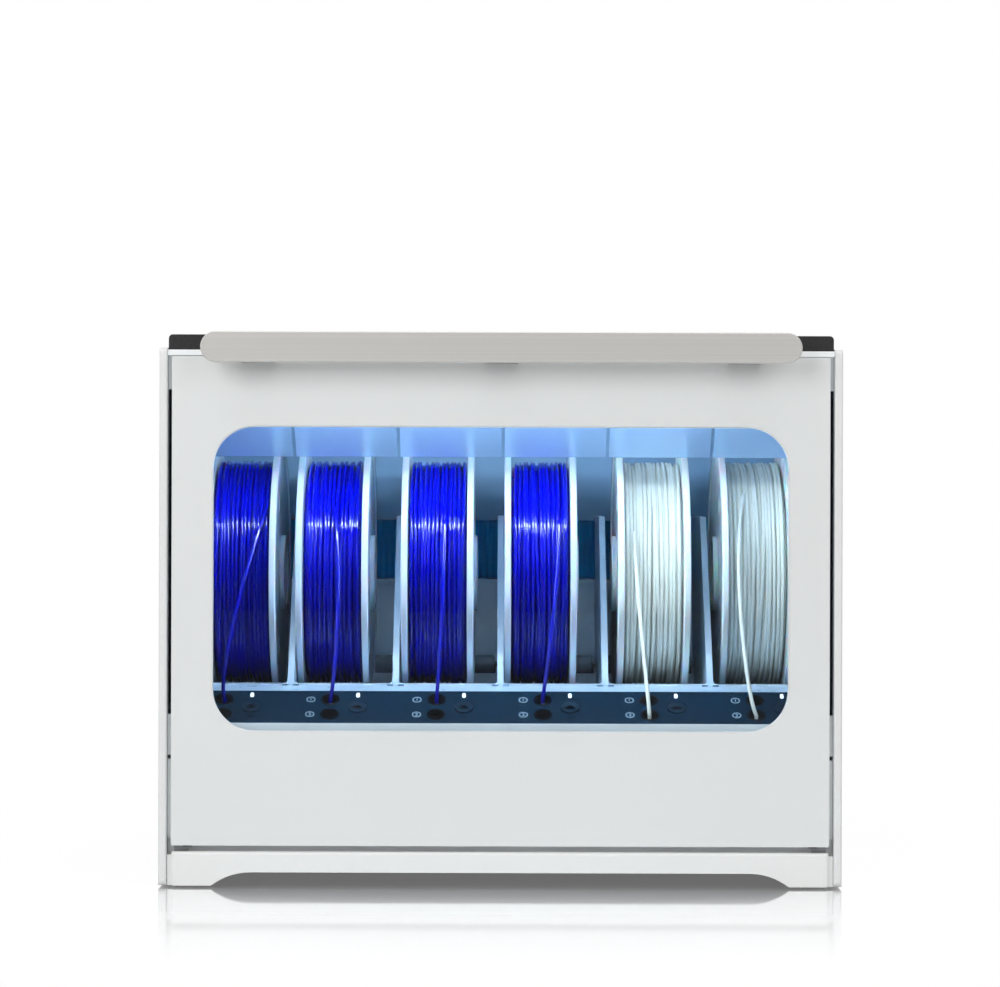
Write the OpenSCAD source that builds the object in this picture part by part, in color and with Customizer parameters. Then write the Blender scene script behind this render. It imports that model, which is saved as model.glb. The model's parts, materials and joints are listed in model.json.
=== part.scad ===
// Six-bay filament drying and storage station for desktop 3D printers.
// Millimetres. X runs to the right, Y to the rear and Z up. The origin is on the floor,
// under the middle of the box that bounds the whole station.
// Inside the modules a depth is measured from the plane of the front edges.

/* [Bays] */
// Distance from one bay to the next
bay_pitch = 79; // [78.6:0.1:84]
// Thickness of the walls between bays
divider_t = 4.7; // [3.6:0.1:5]
// Thickness of the outermost bay walls
end_wall_t = 5.35; // [4:0.05:8]
// Sideways shift of each spool in its bay, A to F
spool_shift = [0, -9.2, -8.5, -9.2, -2.3, -2.7]; // [-9.2:0.1:9.2]
// Side clearance between pieces that slot together
fit = 0.15; // [0.1:0.05:0.3]
// Clearance between pieces that move past each other
running_gap = 0.3; // [0.3:0.05:0.5]

/* [Spools] */
// Radius of a spool's flanges
spool_r = 100; // [96:0.5:102]
// Width over a spool's flanges
spool_w = 55; // [50:0.5:55]
// Thickness of a flange at its rim
flange_t = 5; // [3:0.1:6]
// Depth of the shallow recess in a flange's outer face
flange_recess = 1.2; // [0.5:0.1:2]
// Width of a flange's raised rim band
rim_band = 7; // [4:0.5:12]
// Radius of the hole through a spool
hub_bore_r = 25; // [20:0.5:26]
// Radius of the raised ring round a spool's hole
hub_ring_r = 29.5; // [28:0.5:34]
// Height of the raised ring on the outer face of a flange
hub_lip = 2.5; // [1:0.1:2.8]
// Radius of the barrel that carries the filament
barrel_r = 50; // [40:1:60]
// Radius of the wound filament
winding_r = 88; // [70:1:92]
// Thickness of the filament
filament_d = 2.85; // [1.75:0.05:3]
// Depth of the grooves between neighbouring turns
turn_groove = 0.7; // [0.3:0.1:1.2]

/* [Rollers] */
// Radius of a roller
roller_r = 6.9; // [5:0.1:8]
// Length of a roller's body
roller_len = 69; // [64:0.5:71]
// Radius of a roller's pins
roller_pin_r = 2; // [1.5:0.1:2.2]
// Radial clearance of a pin in its hole
pin_fit = 0.06; // [0.02:0.01:0.1]
// Angle of the front rollers from straight below the spool
front_roller_angle = 31; // [28:0.5:33]
// Angle of the rear rollers from straight below the spool
rear_roller_angle = 46; // [42:0.5:50]

/* [Cradle] */
// Free space between a spool's rim and the trough below it
trough_gap = 10; // [9:0.5:12]
// Thickness of the trough
trough_t = 3; // [2:0.1:4]
// Angle of the trough's rear edge from straight below the spool
trough_rear_angle = 86; // [80:1:88]
// Height of a spool's lowest point above the floor
spool_floor = 127.5; // [125:0.5:129]
// Depth of a spool's foremost point
spool_setback = 67; // [66:0.5:72]
// Length of the clear cut round a roller, beyond its surface
pocket_gap = 1.4; // [1:0.1:2]

/* [Bay posts] */
// Height of the top of the bay walls above the spool axis
post_rise = 44.5; // [30:0.5:60]
// Depth of the top of the posts in front of the spool axis
post_top_lead = 2; // [0:0.5:10]
// How far the post's front edge bows forward, as a control point from the spool axis
post_bow = [-40, 4]; // [-60:1:20]
// Radius of the fillets at the foot of a post
post_fillet = 4; // [2:0.5:6]

/* [Control strip] */
// Slope of the strip above the horizontal
strip_angle = 32.5; // [30:0.5:35]
// Length of the strip up its slope
strip_len = 40.5; // [40:0.5:41.5]
// Thickness of the strip
strip_t = 2.5; // [2:0.1:3]
// Distance from the strip's top edge to the upper and lower inlets
inlet_rows = [11, 29.6]; // [8:0.1:33]
// Sideways place of the inlets in a bay
inlet_x = -8; // [-12:0.5:-6]
// Radius of an inlet's rim
inlet_rim_r = 7; // [6.5:0.1:8]
// Radius of an inlet's mouth
inlet_r = 5.5; // [4.5:0.1:5.8]
// Depth of an inlet's cup
inlet_depth = 9; // [6:0.5:12]
// Height of an inlet's rim above the strip
inlet_rim_t = 0.6; // [0.4:0.1:1]
// Radius of the filament guide below an inlet
guide_r = 2.2; // [2:0.1:2.6]
// Distance from the strip's top edge to the eject buttons
button_row = 20.2; // [18:0.1:22]
// Sideways place of a button in a bay
button_x = 12.4; // [11:0.1:16]
// Radius of a button's cap
button_r = 6.9; // [6:0.1:7.2]
// Width of the shallow ring round a button
button_ring = 0.7; // [0.5:0.1:1.2]
// Distance from the strip's top edge to the status lights
light_row = 5.4; // [4.8:0.1:6]
// Width of a status light
light_w = 2.6; // [2:0.1:3.2]
// Length of a status light
light_len = 5.5; // [4.5:0.1:6]
// Width of the white ledge behind the strip
ledge_w = 19.4; // [17:0.2:20]
// Rise of the ledge towards the bays
ledge_rise = 3.2; // [1:0.1:3.6]

/* [Cabinet] */
// Thickness of the side panels
side_t = 6; // [4:0.5:10]
// Depth of the side panels
body_d = 428; // [410:1:460]
// Height of the side panels' upper edge above the floor
side_top = 396.5; // [394:0.5:402]
// Gap between the panels and the floor
floor_gap = 1.5; // [1:0.1:3]
// Thickness of the chamber's liner
liner_t = 3; // [2:0.1:4]
// Air gap between the liner and the side panels
liner_gap = 2; // [1:0.1:4]
// Clearance between the side panels and what stands between them
side_fit = 0.3; // [0.2:0.1:0.6]
// Free space behind the spools
spool_rear_gap = 16; // [15.5:0.5:24]
// Height of the top cover
cover_h = 11.2; // [8:0.1:14]
// Radius of the top cover's upper edges
cover_r = 3.4; // [2:0.1:4]
// Thickness of the top cover's skin
cover_t = 3; // [2:0.5:5]
// Thickness of the rear panel
rear_t = 4; // [3:0.5:6]

/* [Base] */
// Height of the fascia's upper edge above the floor
fascia_top = 26.5; // [24:0.5:26.5]
// Thickness of the fascia
fascia_t = 5; // [4:0.5:6]
// Gap between the fascia's ends and the side panels
fascia_gap = 3.6; // [2:0.1:5]
// Thickness of the flanges that close those gaps
fascia_flange = 2; // [1:0.1:2.5]
// Half thickness of the fascia's ribs
fascia_rib = 2; // [1:0.5:3]
// Places of the fascia's ribs on each side of its middle
fascia_rib_x = [60, 180]; // [40:1:190]
// Height of the arch under the fascia above the floor
arch_top = 11.4; // [8:0.1:12]
// Half of the flat length of the arch
arch_flat = 183; // [150:1:190]
// Radius of the arch's ends
arch_r = 48; // [40:1:60]
// Height of the tray's underside above the floor
tray_z = 13; // [12.5:0.1:14]
// Thickness of the tray's sheet
tray_t = 2; // [1.5:0.1:3]
// Depth of the tray's front wall
tray_setback = 9.6; // [9.3:0.1:10.5]
// Height of the tray's front wall above the floor
tray_front_top = 36; // [35:0.5:37]
// Height of the tray's side and rear walls above its floor
tray_wall_h = 30; // [20:1:40]
// Radius of a foot
foot_r = 9; // [7:0.5:12]
// Distance from the feet's axes to the side panels and to the tray's ends
foot_inset = 13; // [11:0.5:40]

/* [Front frame] */
// Depth of the front frame's face
frame_setback = 8; // [8:0.1:8.5]
// Thickness of the front frame
frame_t = 3.4; // [3:0.1:4]
// Height of the rail above the door
rail_h = 4; // [3:0.1:6]
// Drop from the side panels' top to the rail's top
rail_drop = 1.5; // [1:0.1:3]
// Width of the front frame's side stiles
stile_w = 14.2; // [13.7:0.1:22]
// Height of the apron below the control strip
apron_top = 120.4; // [118:0.1:121]
// Height at which the grooves in the stiles' outer edges begin
groove_low = 127; // [110:1:140]
// Lower edge and height of the notch below each groove
stile_notch = [94, 3]; // [1:1:105]
// Drop from the ceiling to the opening's upper edge
header_h = 19; // [17:0.5:28]
// Radius of the opening's upper corners
opening_r = 8; // [4:0.5:12]

/* [Door] */
// Thickness of the door
door_t = 6; // [5.5:0.1:6.5]
// Gap between the door and the side panels
door_side_gap = 3.35; // [2.5:0.05:4]
// Gap between the door and the rail above it
door_top_gap = 0.7; // [0.5:0.1:1.5]
// Height of the door's lower edge above the fascia
door_lift = 4.5; // [4.2:0.1:6]
// Thickness of the door's front skin
door_skin = 2.6; // [2:0.1:3]
// Radius of the door's corners
door_r = 1.5; // [0.5:0.1:3]
// Width of the window
window_w = 424; // [380:1:428]
// Height of the window
window_h = 224.6; // [200:0.2:230]
// Height of the window's lower edge above the door's
window_sill = 83.7; // [80:0.1:90]
// Radius of the window's corners
window_r = 31; // [20:0.5:40]
// Overlap of the pane behind the door's edge
pane_lap = 7.7; // [5:0.1:7.7]
// Thickness of the pane
pane_t = 2.7; // [2:0.1:2.8]
// Solid border left round the window's pane
window_land = 14; // [12:0.5:14]
// Width of the door's solid rim
door_rim = 16; // [14:0.5:16]
// Width of the door's solid lower rim
door_rim_low = 22; // [21.5:0.5:26]
// Spacing of the ribs in the door's pockets
rib_pitch = 60; // [40:5:90]
// Thickness of those ribs
rib_t = 1.8; // [1.2:0.1:3]
// Width of the door seal
seal_w = 5; // [3:0.5:5]
// Distance from the door's edge to its seal
seal_inset = 5.5; // [5:0.1:6]
// Distance from the door's lower edge to its seal
seal_inset_low = 16.3; // [16:0.1:17]

/* [Handle] */
// Length of the handle
handle_len = 438; // [300:1:450]
// Height of the handle
handle_h = 22.6; // [18:0.2:28]
// Thickness of the handle
handle_t = 5; // [3:0.1:6]
// Distance from the door's face to the handle's face
handle_reach = 25; // [18:0.5:25]
// Overlap of the handle below the door's upper edge
handle_lap = 5.3; // [5:0.1:5.8]
// Chamfer round the handle's face
handle_bevel = 0.8; // [0.4:0.1:1.2]
// Length of each standoff behind the handle
standoff_len = 24; // [16:1:40]
// Distance of the outer standoffs from the handle's middle
standoff_x = 178; // [100:1:180]

/* [Hinges] */
// Depth of the hinge axis
hinge_d = 5; // [5:0.1:5.2]
// Height of the hinge axis above the door's lower edge
hinge_rise = 2; // [2:0.1:2.2]
// Radius of a hinge's knuckles
knuckle_r = 3.2; // [3:0.05:3.2]
// Radius of a hinge's pin
hinge_pin_r = 1.5; // [1.2:0.1:1.8]
// Radial clearance of the pin in the door's knuckle
hinge_fit = 0.05; // [0.02:0.01:0.1]
// Length of the door's knuckle, and of the base's
knuckle_len = 6.6; // [5:0.1:6.8]
// Thickness of the hinge leaves
leaf_t = 1.4; // [1:0.1:1.4]
// Distance from the hinges to the side panels
hinge_inset = 5; // [5:0.1:6]
// Height of a hinge bracket below the axis
bracket_h = 15; // [8:0.5:16]
// Width of a hinge bracket beside its knuckle
bracket_side = 4; // [2:0.5:6]

/* [Hoods] */
// Depth and height of a hood's lower edge from the spool axis
hood_low = [-82, 90.2]; // [-90:0.1:100]
// Slope of a hood below the horizontal
hood_angle = 39.5; // [36:0.5:42]
// Height of the flange by which a hood hangs from the ceiling
hood_flange_h = 19; // [12:0.5:28]
// Thickness of a hood
hood_t = 2; // [1.5:0.1:3]
// Gap between neighbouring hoods
hood_gap = 2.5; // [1.5:0.1:4]
// Sideways place of the hoods against the bays
hood_shift = 1.5; // [0:0.1:2]
// Half length of the light bar
light_bar_half = 205; // [150:1:225]
// Height and depth of the light bar
light_bar = [10, 12]; // [6:0.5:12]

/* [Rear units] */
// Height of the plenum's opening above the floor, lower and upper edges
plenum_z = [221, 268]; // [200:1:275]
// Depth of the plenum
plenum_d = 12; // [8:1:20]
// Wall thickness of the drying unit
duct_t = 2; // [1.5:0.5:4]
// Radius of the fan's duct
fan_r = 57; // [40:1:58]
// Radius of the fan's hub
fan_hub_r = 20; // [15:1:25]
// Number of fan blades
fan_blades = 7; // [3:1:9]
// Height of the fan's axis above the floor
fan_z = 245; // [238:1:250]
// Depth of the fan from the rear panel, and of its blades
fan_d = [26, 16]; // [10:1:30]
// Radius of the fan's shaft
fan_shaft_r = 3; // [2:0.5:4]
// Width of a vent slot
vent_w = 4; // [3:0.5:6]
// Distance from one vent slot to the next
vent_pitch = 9; // [7:0.5:12]
// Radius of the bore of an outlet coupler
coupler_bore_r = 3.2; // [2:0.1:3.5]
// Radius of a coupler's flange
coupler_r = 9; // [8:0.5:12]
// Height of the couplers above the floor
coupler_z = 330; // [320:1:370]
// Sideways place of the first coupler and distance to the second
coupler_x = [150, 36]; // [24:1:180]
// How far the couplers stand out behind the rear panel
coupler_reach = 4; // [3:0.5:12]
// Centre of the power inlet on the rear panel
inlet_at = [-170, 62]; // [-200:1:200]
// Left and right edges of the control board
board_x = [40, 200]; // [20:1:220]
// Clearances of the board from the liner and the rear panel
board_gap = [12, 14]; // [8:1:20]
// Height of the posts under the board
board_rise = 8; // [5:1:12]
// Width and height of the transformer on the board
transformer = [40, 32]; // [20:1:44]
// Width and height of the power inlet
inlet_size = [48, 28]; // [24:1:50]

/* [Feeders] */
// Width of a feeder unit
feeder_w = 60; // [50:1:66]
// Depth of a feeder unit
feeder_d = 50; // [40:1:52]
// Distance from the control strip down to a feeder unit
feeder_drop = 29; // [26:1:34]
// Distance from the front frame to a feeder unit
feeder_gap = 4.6; // [3:0.1:6]
// Radius of a feeder motor
motor_r = 17.5; // [14:0.5:18]
// How far a motor stands out beside its feeder unit
motor_reach = 5; // [2:0.5:6]

/* [Hidden] */
$fn = 64;
eps = 0.01;
bays = [0:5];
letters = ["a", "b", "c", "d", "e", "f"];
station = ["base_tray", "base_fascia", "left_side_panel", "right_side_panel", "rear_panel",
    "top_cover", "front_frame", "rubber_feet", "chamber_liner", "spool_cradle",
    "bay_dividers", "bay_hoods", "led_bar", "control_panel", "inlet_cups", "status_lights",
    "feeder_units", "drying_unit", "outlet_couplers", "hinge_brackets", "filament_strands",
    "power_inlet", "control_board", "door_panel", "door_window", "door_gasket",
    "door_handle", "handle_standoffs", "door_hinge_arms", "fan_rotor"];
bay_parts = ["spool", "filament", "front_roller", "rear_roller", "eject_button"];

// Widths, from the bays outwards
bay_clear = bay_pitch - divider_t;
last_face = 3 * bay_pitch - divider_t / 2;
liner_in = last_face + end_wall_t;
liner_out = liner_in + liner_t;
inner_half = liner_out + liner_gap;
body_half = inner_half + side_t;
infill_half = inner_half - side_fit;
opening_half = infill_half - stile_w;
function bay_x(i) = (i - 2.5) * bay_pitch;
function spool_x(i) = bay_x(i) + spool_shift[i];

// Depths, from the front edges to the rear
total_d = handle_reach + body_d + coupler_reach;
front_y = handle_reach - total_d / 2;
frame_back = frame_setback + frame_t;
spool_d = spool_setback + spool_r;
back_d = spool_d + spool_r + spool_rear_gap;
back_out = back_d + liner_t;
rear_d = body_d - rear_t;

// Heights, from the floor up
spool_z = spool_floor + spool_r;
frame_top = side_top - rail_drop;
door_low = fascia_top + door_lift;
door_top = frame_top - rail_h - door_top_gap;
door_h = door_top - door_low;
door_half = inner_half - door_side_gap;
window_low = door_low + window_sill;
hinge_z = door_low + hinge_rise;
tray_floor = tray_z + tray_t;
ceiling_z = frame_top - 10;
opening_top = ceiling_z - header_h;

// The control strip and the ledge behind it, as points in depth and height
strip_foot = [frame_back + fit, apron_top];
strip_head = strip_foot + strip_len * [cos(strip_angle), sin(strip_angle)];
ledge_front = strip_head + [fit, 0];
post_foot = ledge_front + [ledge_w, ledge_rise];
post_top = [spool_d - post_top_lead, spool_z + post_rise];

// Rollers touch the rims all but for the running gap
roller_dist = spool_r + roller_r + running_gap;
function roller_at(angle) =
    [spool_d - roller_dist * sin(angle), spool_z - roller_dist * cos(angle)];
front_roller_at = roller_at(front_roller_angle);
rear_roller_at = roller_at(-rear_roller_angle);
trough_r = spool_r + trough_gap;
pin_len = (bay_clear - roller_len) / 2 + divider_t / 2 - 0.4;

// Hoods
hood_edge = [spool_d, spool_z] + hood_low;
hood_rise = ceiling_z - hood_flange_h - hood_edge[1];
hood_top = hood_edge + hood_rise * [-1 / tan(hood_angle), 1];

// Puts depths where the origin wants them
module in_cabinet() {
    translate([0, front_y, 0]) children();
}

// Extrudes a side view, drawn as depth and height, along X
module across(width, middle = 0) {
    translate([middle - width / 2, 0, 0]) rotate([90, 0, 90]) linear_extrude(width) children();
}

// Extrudes a front view, drawn as X and height, towards the rear
module facing(depth, from) {
    translate([0, from + depth, 0]) rotate([90, 0, 0]) linear_extrude(depth) children();
}

// A box between two corners
module block(low, high) {
    translate(low) cube(high - low);
}

// A rod along X, between two places
module rod_x(r, x0, x1, at) {
    translate([x0, at[0], at[1]]) rotate([0, 90, 0]) cylinder(r = r, h = x1 - x0);
}

// A rod along Y, between two depths
module rod_y(r, d0, d1, x, z) {
    translate([x, d1, z]) rotate([90, 0, 0]) cylinder(r = r, h = d1 - d0);
}

// A rectangle with round corners, from its low corner to its high one
module soft_rect(low, high, r) {
    union() {
        translate([low[0] + r, low[1]]) square([high[0] - low[0] - 2 * r, high[1] - low[1]]);
        translate([low[0], low[1] + r]) square([high[0] - low[0], high[1] - low[1] - 2 * r]);
        for (x = [low[0] + r, high[0] - r], y = [low[1] + r, high[1] - r])
            translate([x, y]) circle(r = r);
    }
}

// Draws in the plane of the control strip: Y up the slope, Z out of it
module on_strip() {
    translate([0, strip_head[0], strip_head[1]]) rotate([strip_angle, 0, 0]) children();
}

module mirrored() {
    children();
    mirror([1, 0, 0]) children();
}

// ---- Base and casing ----

module base_tray() {
    back = rear_d - fit;
    side = infill_half - tray_t;
    color("#d9dcdf") in_cabinet() {
        block([-infill_half, tray_setback, tray_z], [infill_half, back, tray_floor]);
        block([-infill_half, tray_setback, tray_z],
            [infill_half, tray_setback + tray_t, tray_front_top]);
        block([-infill_half, back - tray_t, tray_z],
            [infill_half, back, tray_floor + tray_wall_h]);
        mirrored() block([side, frame_back, tray_z],
            [infill_half, back, tray_floor + tray_wall_h]);
    }
}

module fascia_outline() {
    half = inner_half - fascia_gap;
    centre = arch_top - arch_r;
    difference() {
        soft_rect([-half, floor_gap], [half, fascia_top], 1.2);
        intersection() {
            translate([-half, 0]) square([2 * half, arch_top]);
            union() {
                translate([-arch_flat, 0]) square([2 * arch_flat, arch_top]);
                for (x = [-arch_flat, arch_flat]) translate([x, centre]) circle(r = arch_r, $fn = 160);
            }
        }
    }
}

module base_fascia() {
    half = inner_half - fascia_gap;
    edge_r = 2.5;
    color("#eef0f2") in_cabinet() {
        intersection() {
            facing(fascia_t, 0) fascia_outline();
            across(2 * half) union() {
                translate([edge_r, 0]) square([fascia_t - edge_r, fascia_top]);
                square([fascia_t, fascia_top - edge_r]);
                translate([edge_r, fascia_top - edge_r]) circle(r = edge_r);
            }
            translate([0, 0, -1]) linear_extrude(fascia_top + 2)
                soft_rect([-half, 0], [half, 2 * fascia_t], edge_r);
        }
        mirrored() {
            for (x = fascia_rib_x) block([x - fascia_rib, fascia_t - eps, tray_z],
                [x + fascia_rib, tray_setback, fascia_top - 4]);
            block([half - 1, fascia_t - fascia_flange, floor_gap],
                [infill_half, fascia_t, fascia_top - edge_r]);
        }
    }
}

module side_panel(side) {
    corner = 4;
    edge = 1.5;
    middle = side * (inner_half + side_t / 2);
    color("#f2f4f5") in_cabinet() intersection() {
        across(side_t, middle) soft_rect([0, floor_gap], [body_d, side_top], corner);
        translate([middle, 0, 0]) linear_extrude(side_top + 1)
            soft_rect([-side_t / 2, 0], [side_t / 2, body_d], edge);
    }
}

module left_side_panel() side_panel(-1);
module right_side_panel() side_panel(1);

// Slots across a round field, as the fan's grille
module vent_slots() {
    rows = floor((fan_r - vent_w) / vent_pitch);
    for (k = [-rows:rows]) {
        half = sqrt(fan_r * fan_r - pow(abs(k) * vent_pitch + vent_w / 2, 2));
        soft_rect([-half, fan_z + k * vent_pitch - vent_w / 2],
            [half, fan_z + k * vent_pitch + vent_w / 2], vent_w / 2 - eps);
    }
}

module rear_panel() {
    low = floor_gap + 6;
    boss = fan_r + 8;
    color("#e4e7ea") in_cabinet() difference() {
        facing(rear_t, rear_d) soft_rect([-infill_half, low], [infill_half, frame_top], 3);
        translate([0, -1, 0]) facing(rear_t + 2, rear_d) vent_slots();
        for (k = [0, 1])
            rod_y(coupler_r - 3 + fit, rear_d - 1, body_d + 1, coupler_x[0] + k * coupler_x[1],
                coupler_z);
        facing(rear_t + 2, rear_d - 1) translate(inlet_at)
            soft_rect(-inlet_size / 2 + [3, 3], inlet_size / 2 - [3, 3], 2);
        for (x = [-1, 1], z = [low + 12, frame_top - 12])
            rod_y(1.8, rear_d - 1, body_d + 1, x * (infill_half - 10), z);
    }
}

module top_cover() {
    half = infill_half - 0.2;
    front = 0.5;
    back = body_d - 0.5;
    high = frame_top + cover_h;
    color("#1c1d1f") in_cabinet() difference() {
        intersection() {
            facing(back - front, front) union() {
                soft_rect([-half, frame_top], [half, high], cover_r);
                translate([-half, frame_top]) square([2 * half, cover_r + 1]);
            }
            linear_extrude(high + 1) soft_rect([-half, front], [half, back], cover_r);
        }
        for (x = [-1, 1], d = [0, 1])
            block([x > 0 ? 2 : 8 - half, d > 0 ? body_d / 2 + 2 : frame_back + 2, frame_top - 1],
                [x > 0 ? half - 8 : -2, d > 0 ? rear_d - 2 : body_d / 2 - 2, high - cover_t]);
    }
}

module rubber_feet() {
    x = inner_half - foot_inset;
    color("#2b2c2e") in_cabinet()
        for (side = [-1, 1], d = [tray_setback + foot_inset, rear_d - foot_inset])
            translate([side * x, d, 0]) {
                cylinder(r1 = foot_r - 1, r2 = foot_r, h = 3);
                translate([0, 0, 3]) cylinder(r = foot_r, h = tray_z - 3);
            }
}

// ---- Chamber ----

module front_frame() {
    groove = [groove_low, opening_top];
    notch = [stile_notch[0], stile_notch[0] + stile_notch[1]];
    color("#eceff1") in_cabinet() {
        difference() {
            block([-infill_half, frame_setback, tray_front_top],
                [infill_half, frame_back, frame_top]);
            translate([0, -1, 0]) facing(frame_t + 2, frame_setback) union() {
                soft_rect([-opening_half, apron_top + 20], [opening_half, opening_top], opening_r);
                translate([-opening_half, apron_top]) square([2 * opening_half, 40]);
            }
            mirrored() for (span = [groove, notch])
                block([door_half - 1, frame_setback - 1, span[0]],
                    [infill_half + 1, frame_back + 1, span[1]]);
        }
        block([-infill_half, 0.3, frame_top - rail_h], [infill_half, frame_setback + eps, frame_top]);
    }
}

module chamber_liner() {
    low = tray_floor + tray_wall_h + 2;
    color("#c9d3da") in_cabinet() difference() {
        block([-liner_out, frame_back, low], [liner_out, back_out, ceiling_z + liner_t]);
        block([-liner_in, frame_back - 1, low - 1], [liner_in, back_d, ceiling_z]);
        facing(liner_t + 2, back_d - 1)
            soft_rect([4 - liner_in, plenum_z[0]], [liner_in - 4, plenum_z[1]], 3);
    }
}

// Side view of a trough: a plate behind the ledge, then an arc round the spool
module trough_outline() {
    lip = spool_z - trough_r * cos(trough_rear_angle);
    rear = spool_d + trough_r * sin(trough_rear_angle);
    level = post_foot[1];
    meet = spool_d - sqrt(pow(trough_r, 2) - pow(spool_z - level, 2));
    union() {
        intersection() {
            difference() {
                translate([spool_d, spool_z]) circle(r = trough_r + trough_t, $fn = 240);
                translate([spool_d, spool_z]) circle(r = trough_r, $fn = 240);
            }
            union() {
                translate([post_foot[0], 0]) square([spool_d - post_foot[0], level]);
                translate([spool_d - 1, 0]) square([trough_r + trough_t + 1, lip]);
            }
        }
        translate([post_foot[0] + fit, level - trough_t])
            square([meet - post_foot[0] + trough_t / 2, trough_t]);
        translate([rear - 1, lip - trough_t]) square([back_d - fit - rear + 1, trough_t]);
    }
}

module spool_cradle() {
    width = bay_clear - 2 * fit;
    color("#dfe8ee") in_cabinet() for (i = bays) difference() {
        across(width, bay_x(i)) trough_outline();
        for (at = [front_roller_at, rear_roller_at])
            rod_x(roller_r + pocket_gap, bay_x(i) - roller_len / 2 - 1,
                bay_x(i) + roller_len / 2 + 1, at);
    }
}

// Points of a quadratic curve between two ends
function bow(a, b, c, steps) =
    [for (k = [0:steps]) let (t = k / steps) pow(1 - t, 2) * a + 2 * t * (1 - t) * b + t * t * c];

// Side view of a bay wall, from the tray's floor to the top of its post
module divider_outline() {
    strip_under = 6 / cos(strip_angle);
    front = frame_back + 1.5;
    slope = tan(strip_angle);
    low = apron_top - strip_under + (front - strip_foot[0]) * slope;
    high = apron_top - strip_under + (ledge_front[0] + 2 - strip_foot[0]) * slope;
    front_edge = bow(post_foot, [spool_d, spool_z] + post_bow, post_top, 10);
    polygon(concat(
        [[back_d - fit, post_top[1]], [back_d - fit, tray_floor], [front, tray_floor],
            [front, low], [ledge_front[0] + 2, high], [post_foot[0], high]],
        front_edge));
}

// The fillet on either side of a post, in the plane of its lean
module post_fillets(width) {
    lean = atan2(post_foot[0] - ledge_front[0], post_fillet * 4);
    for (side = [-1, 1])
        translate([side * width / 2, post_foot[0] - 1.6, post_foot[1] - 0.2])
            mirror([side < 0 ? 1 : 0, 0, 0]) rotate([90 - lean, 0, 0])
                linear_extrude(2) difference() {
                    translate([-0.5, -0.5]) square(post_fillet + 0.5);
                    translate([post_fillet, post_fillet]) circle(r = post_fillet);
                }
}

module bay_dividers() {
    bore = roller_pin_r + pin_fit;
    bar = post_foot[0];
    color("#e8eff4") in_cabinet() difference() {
        union() {
            for (k = [-2:2]) across(divider_t, k * bay_pitch) divider_outline();
            mirrored() across(end_wall_t, liner_in - end_wall_t / 2) divider_outline();
            across(2 * liner_in) polygon([ledge_front, post_foot, [bar, ledge_front[1] - 5],
                ledge_front + [2.4, -3.2]]);
            for (k = [-2:2]) translate([k * bay_pitch, 0, 0]) post_fillets(divider_t);
            block([-liner_in, back_d - 8, tray_floor], [liner_in, back_d - fit, tray_floor + 12]);
        }
        for (at = [front_roller_at, rear_roller_at]) rod_x(bore, -liner_in + 1, liner_in - 1, at);
    }
}

// Side view of a hood: a sloping plate with a flange up to the ceiling
module hood_outline() {
    along = [cos(hood_angle), -sin(hood_angle)];
    up = [sin(hood_angle), cos(hood_angle)];
    flange = hood_top[0];
    polygon([hood_edge, hood_top, [flange, ceiling_z], [flange + hood_t, ceiling_z],
        hood_top + [hood_t, hood_t * 0.6], hood_edge + hood_t * up + 0.8 * along,
        hood_edge + 0.4 * hood_t * up + 1.2 * along]);
}

module bay_hoods() {
    color("#dde7f2") in_cabinet()
        for (i = bays) across(bay_pitch - hood_gap, bay_x(i) + hood_shift) hood_outline();
}

module led_bar() {
    color("#f6f7f8") in_cabinet() difference() {
        block([-light_bar_half, frame_back, opening_top],
            [light_bar_half, frame_back + light_bar[1], opening_top + light_bar[0]]);
        across(2 * light_bar_half - 4) translate([frame_back + 3, opening_top - 1])
            square([light_bar[1] - 5, 3]);
    }
}

// ---- Control strip ----

module strip_holes() {
    for (i = bays) {
        for (row = inlet_rows) translate([bay_x(i) + inlet_x, -row, -strip_t - 3])
            cylinder(r = inlet_rim_r - 0.5, h = strip_t + 6);
        translate([bay_x(i) + button_x, -button_row, -strip_t - 3])
            cylinder(r = button_r + running_gap, h = strip_t + 6);
        translate([bay_x(i) + button_x, -button_row, -0.5])
            cylinder(r = button_r + running_gap + button_ring, h = 3);
        translate([bay_x(i) + button_x, -light_row, -strip_t - 3]) linear_extrude(strip_t + 6)
            soft_rect([-light_w / 2, -light_len / 2], [light_w / 2, light_len / 2], light_w / 2 - eps);
    }
}

module control_panel() {
    half = liner_in - 0.3;
    rib = 3;
    color("#33424f") in_cabinet() on_strip() difference() {
        union() {
            block([-half, -strip_len, -strip_t], [half, 0, 0]);
            block([-half, -rib / 2, -strip_t - 2], [half, 0, -strip_t + eps]);
            block([-half, -strip_len + 1, -strip_t - 2],
                [half, -strip_len + 1 + rib / 2, -strip_t + eps]);
        }
        strip_holes();
    }
}

module inlet_cup() {
    body = inlet_rim_r - 0.5 - fit;
    difference() {
        union() {
            cylinder(r1 = inlet_rim_r, r2 = inlet_rim_r - 0.3, h = inlet_rim_t);
            translate([0, 0, -inlet_depth - 1]) cylinder(r = body, h = inlet_depth + 1 + eps);
        }
        translate([0, 0, -inlet_depth]) cylinder(r = inlet_r, h = inlet_depth + 2);
        translate([0, 0, -inlet_depth - 2]) cylinder(r = guide_r, h = 4);
    }
}

module inlet_cups() {
    color("#15181b") in_cabinet() on_strip()
        for (i = bays, row = inlet_rows) translate([bay_x(i) + inlet_x, -row, 0]) inlet_cup();
}

module status_lights() {
    w = light_w / 2 - fit;
    len = light_len / 2 - fit;
    color("#ffffff") in_cabinet() on_strip() for (i = bays)
        translate([bay_x(i) + button_x, -light_row, -strip_t]) linear_extrude(strip_t + 0.2)
            soft_rect([-w, -len], [w, len], w - eps);
}

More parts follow.
